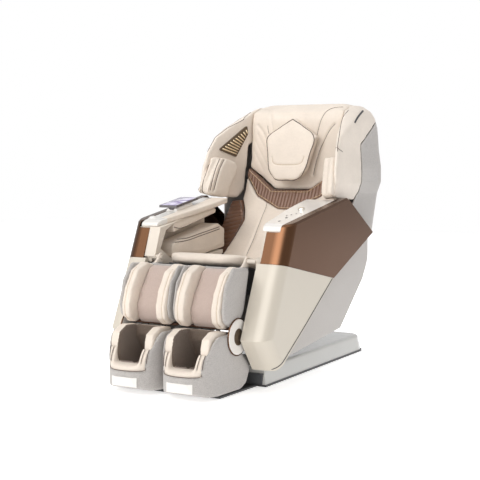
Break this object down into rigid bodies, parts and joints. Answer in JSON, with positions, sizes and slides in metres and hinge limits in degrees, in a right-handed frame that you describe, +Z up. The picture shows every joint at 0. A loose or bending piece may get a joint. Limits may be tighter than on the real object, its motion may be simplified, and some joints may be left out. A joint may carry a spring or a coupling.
{
  "type": "massage chair",
  "caption": "Powered recliner massage chair with a winged head section, metal-banded arms and split calf and foot massagers on a low plinth base.",
  "frame": {"origin": "centre of the base on the floor", "axes": "+Z up, the sitter faces -Y, +X is the sitter's left"},
  "size_m": [0.78, 1.5056, 1.202],
  "materials": {
    "cream_leather": "soft matte",
    "taupe_fabric": "matte",
    "grey_fabric": "heathered matte",
    "brown_leather": "soft matte",
    "bronze": "satin metallic",
    "cream_gloss": "satin",
    "plinth_gloss": "gloss",
    "black_plastic": "matte",
    "frame_paint": "satin",
    "steel": "brushed",
    "dark_plastic": "matte",
    "wheel_rubber": "matte",
    "dial_metal": "satin"
  },
  "bodies": {
    "base": {"floor_pad": "black_plastic", "plinth_cover": "plinth_gloss", "base_frame": "frame_paint", "tilt_shaft": "steel", "power_inlet": "black_plastic", "control_box": "black_plastic", "air_pump": "dark_plastic"},
    "power_switch": {"power_switch": "black_plastic"},
    "wheel_left": {"rear_wheel_left": "wheel_rubber"},
    "wheel_right": {"rear_wheel_right": "wheel_rubber"},
    "seat": {"seat_cushion": "cream_leather", "seat_frame": "frame_paint", "lower_shell": "grey_fabric", "left_arm_band": "bronze", "right_arm_band": "bronze", "left_arm_panel": "cream_gloss", "right_arm_panel": "cream_gloss", "left_arm_core": "cream_gloss", "right_arm_core": "cream_gloss", "left_arm_pads": "cream_leather", "right_arm_pads": "cream_leather", "leg_motors": "black_plastic", "left_armrest": "cream_gloss", "right_armrest": "cream_gloss", "recline_actuator": "frame_paint"},
    "tablet": {"tablet": "black_plastic"},
    "dial": {"control_knob": "dial_metal"},
    "drive_rod": {"actuator_rod": "steel"},
    "back": {"back_frame": "frame_paint", "back_shell": "grey_fabric", "left_wing": "cream_leather", "right_wing": "cream_leather", "lower_back_cushion": "cream_leather", "chevron_trim": "brown_leather", "lumbar_trims": "brown_leather", "upper_back_cushion": "cream_leather", "left_shoulder_airbag": "cream_leather", "right_shoulder_airbag": "cream_leather", "speaker_grilles": "bronze"},
    "pillow": {"head_pillow": "cream_leather"},
    "carriage": {"massage_carriage": "frame_paint"},
    "kneader": {"kneading_rollers": "dark_plastic"},
    "left_leg": {"left_calf_shell": "grey_fabric", "left_calf_side_pads": "cream_leather", "left_calf_centre_pad": "taupe_fabric"},
    "left_ankle": {"left_ankle_slide": "steel"},
    "left_foot": {"left_foot_shell": "grey_fabric", "left_foot_liner": "cream_leather", "left_toe_cap": "cream_gloss", "left_pivot_disc": "cream_gloss"},
    "left_roller": {"left_foot_roller": "dark_plastic"},
    "right_leg": {"right_calf_shell": "grey_fabric", "right_calf_side_pads": "cream_leather", "right_calf_centre_pad": "taupe_fabric"},
    "right_ankle": {"right_ankle_slide": "steel"},
    "right_foot": {"right_foot_shell": "grey_fabric", "right_foot_liner": "cream_leather", "right_toe_cap": "cream_gloss", "right_pivot_disc": "cream_gloss"},
    "right_roller": {"right_foot_roller": "dark_plastic"}
  },
  "joints": [
    {"name": "seat_tilt", "type": "hinge", "parent": "base", "child": "seat", "pos_m": [0, -0.3, 0.2], "axis": [-1, 0, 0], "range_deg": [0, 14]},
    {"name": "back_recline", "type": "hinge", "parent": "seat", "child": "back", "pos_m": [0, -0.1, 0.45], "axis": [-1, 0, 0], "range_deg": [0, 20]},
    {"name": "drive_rod_slide", "type": "slide", "parent": "seat", "child": "drive_rod", "axis": [0, -1, 0], "range_m": [0, 0.034]},
    {"name": "carriage_travel", "type": "slide", "parent": "back", "child": "carriage", "axis": [0, 0.2304, 0.9731], "range_m": [0, 0.3]},
    {"name": "kneading_spin", "type": "hinge", "parent": "carriage", "child": "kneader", "pos_m": [0, 0.25473, 0.64758], "axis": [-1, 0, 0], "continuous": true},
    {"name": "pillow_flip", "type": "hinge", "parent": "back", "child": "pillow", "pos_m": [0, 0.246, 1.126], "axis": [-1, 0, 0], "range_deg": [0, 90]},
    {"name": "tablet_tilt", "type": "hinge", "parent": "seat", "child": "tablet", "pos_m": [-0.3175, -0.3375, 0.71382], "axis": [1, 0, 0], "range_deg": [0, 25]},
    {"name": "dial_spin", "type": "hinge", "parent": "seat", "child": "dial", "pos_m": [0.292, -0.25, 0.71945], "axis": [0, -0.1759, 0.9844], "continuous": true},
    {"name": "wheel_left_spin", "type": "hinge", "parent": "base", "child": "wheel_left", "pos_m": [0.206, 0.44, 0.026], "axis": [1, 0, 0], "continuous": true},
    {"name": "wheel_right_spin", "type": "hinge", "parent": "base", "child": "wheel_right", "pos_m": [-0.206, 0.44, 0.026], "axis": [1, 0, 0], "continuous": true},
    {"name": "power_switch_rock", "type": "hinge", "parent": "base", "child": "power_switch", "pos_m": [0.028, 0.531, 0.031], "axis": [1, 0, 0], "range_deg": [-8, 8]},
    {"name": "left_leg_raise", "type": "hinge", "parent": "seat", "child": "left_leg", "pos_m": [0.132, -0.58, 0.52], "axis": [-1, 0, 0], "range_deg": [0, 75]},
    {"name": "left_leg_extend", "type": "slide", "parent": "left_leg", "child": "left_ankle", "axis": [0, -0.33, -0.944], "range_m": [0, 0.09]},
    {"name": "left_foot_pivot", "type": "hinge", "parent": "left_ankle", "child": "left_foot", "pos_m": [0.132, -0.73, 0.233], "axis": [-1, 0, 0], "range_deg": [-20, 0]},
    {"name": "left_roller_spin", "type": "hinge", "parent": "left_foot", "child": "left_roller", "pos_m": [0.132, -0.8, 0.05], "axis": [1, 0, 0], "continuous": true},
    {"name": "right_leg_raise", "type": "hinge", "parent": "seat", "child": "right_leg", "pos_m": [-0.132, -0.58, 0.52], "axis": [-1, 0, 0], "range_deg": [0, 75]},
    {"name": "right_leg_extend", "type": "slide", "parent": "right_leg", "child": "right_ankle", "axis": [0, -0.33, -0.944], "range_m": [0, 0.09]},
    {"name": "right_foot_pivot", "type": "hinge", "parent": "right_ankle", "child": "right_foot", "pos_m": [-0.132, -0.73, 0.233], "axis": [-1, 0, 0], "range_deg": [-20, 0]},
    {"name": "right_roller_spin", "type": "hinge", "parent": "right_foot", "child": "right_roller", "pos_m": [-0.132, -0.8, 0.05], "axis": [1, 0, 0], "continuous": true}
  ],
  "couplings": [
    {"joint": "drive_rod_slide", "follows": "back_recline", "m_per_rad": 0.09598},
    {"joint": "left_leg_extend", "follows": "left_leg_raise", "m_per_rad": 0.06875},
    {"joint": "right_leg_extend", "follows": "right_leg_raise", "m_per_rad": 0.06875},
    {"joint": "left_foot_pivot", "follows": "left_leg_raise", "ratio": -0.26666},
    {"joint": "right_foot_pivot", "follows": "right_leg_raise", "ratio": -0.26666}
  ]
}
